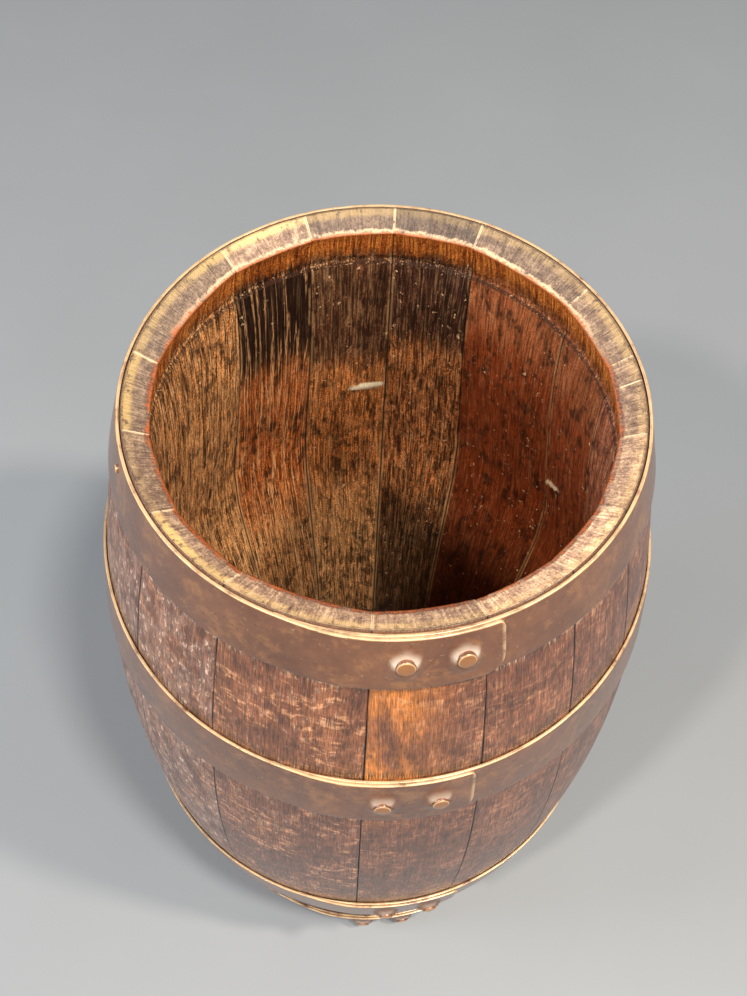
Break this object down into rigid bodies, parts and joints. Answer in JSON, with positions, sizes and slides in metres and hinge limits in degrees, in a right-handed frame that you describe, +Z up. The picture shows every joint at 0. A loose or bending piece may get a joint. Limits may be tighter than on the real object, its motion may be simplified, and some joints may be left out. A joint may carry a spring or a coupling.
{
  "type": "oak wine barrel",
  "caption": "Open-topped coopered oak barrel: bowed staves in riveted iron hoops, with a doweled board head in the croze at the foot.",
  "frame": {"origin": "centre of the bounding box at the foot, on the cask's axis", "axes": "+Z up along the cask's axis, -Y towards the riveted laps at the front"},
  "size_m": [0.372, 0.3737, 0.568],
  "materials": {
    "stave_oak": "dark varnished oak, worn",
    "head_oak": "bare aged oak",
    "dowel_oak": "bare oak",
    "hoop_iron": "brown varnished strip iron with bright worn edges",
    "rivet_iron": "brown varnished iron, rubbed bright on the crowns"
  },
  "bodies": {
    "root": {"stave_01": "stave_oak", "stave_02": "stave_oak", "stave_03": "stave_oak", "stave_04": "stave_oak", "stave_05": "stave_oak", "stave_06": "stave_oak", "stave_07": "stave_oak", "stave_08": "stave_oak", "stave_09": "stave_oak", "stave_10": "stave_oak", "stave_11": "stave_oak", "stave_12": "stave_oak", "stave_13": "stave_oak", "stave_14": "stave_oak", "stave_15": "stave_oak", "head_board_1": "head_oak", "head_board_2": "head_oak", "head_board_3": "head_oak", "head_board_4": "head_oak", "head_board_5": "head_oak", "head_dowels": "dowel_oak", "top_chime_hoop": "hoop_iron", "upper_bilge_hoop": "hoop_iron", "lower_bilge_hoop": "hoop_iron", "bottom_chime_hoop": "hoop_iron", "top_chime_rivets": "rivet_iron", "upper_bilge_rivets": "rivet_iron", "lower_bilge_rivets": "rivet_iron", "bottom_chime_rivets": "rivet_iron", "hoop_nail": "rivet_iron"}
  },
  "joints": []
}
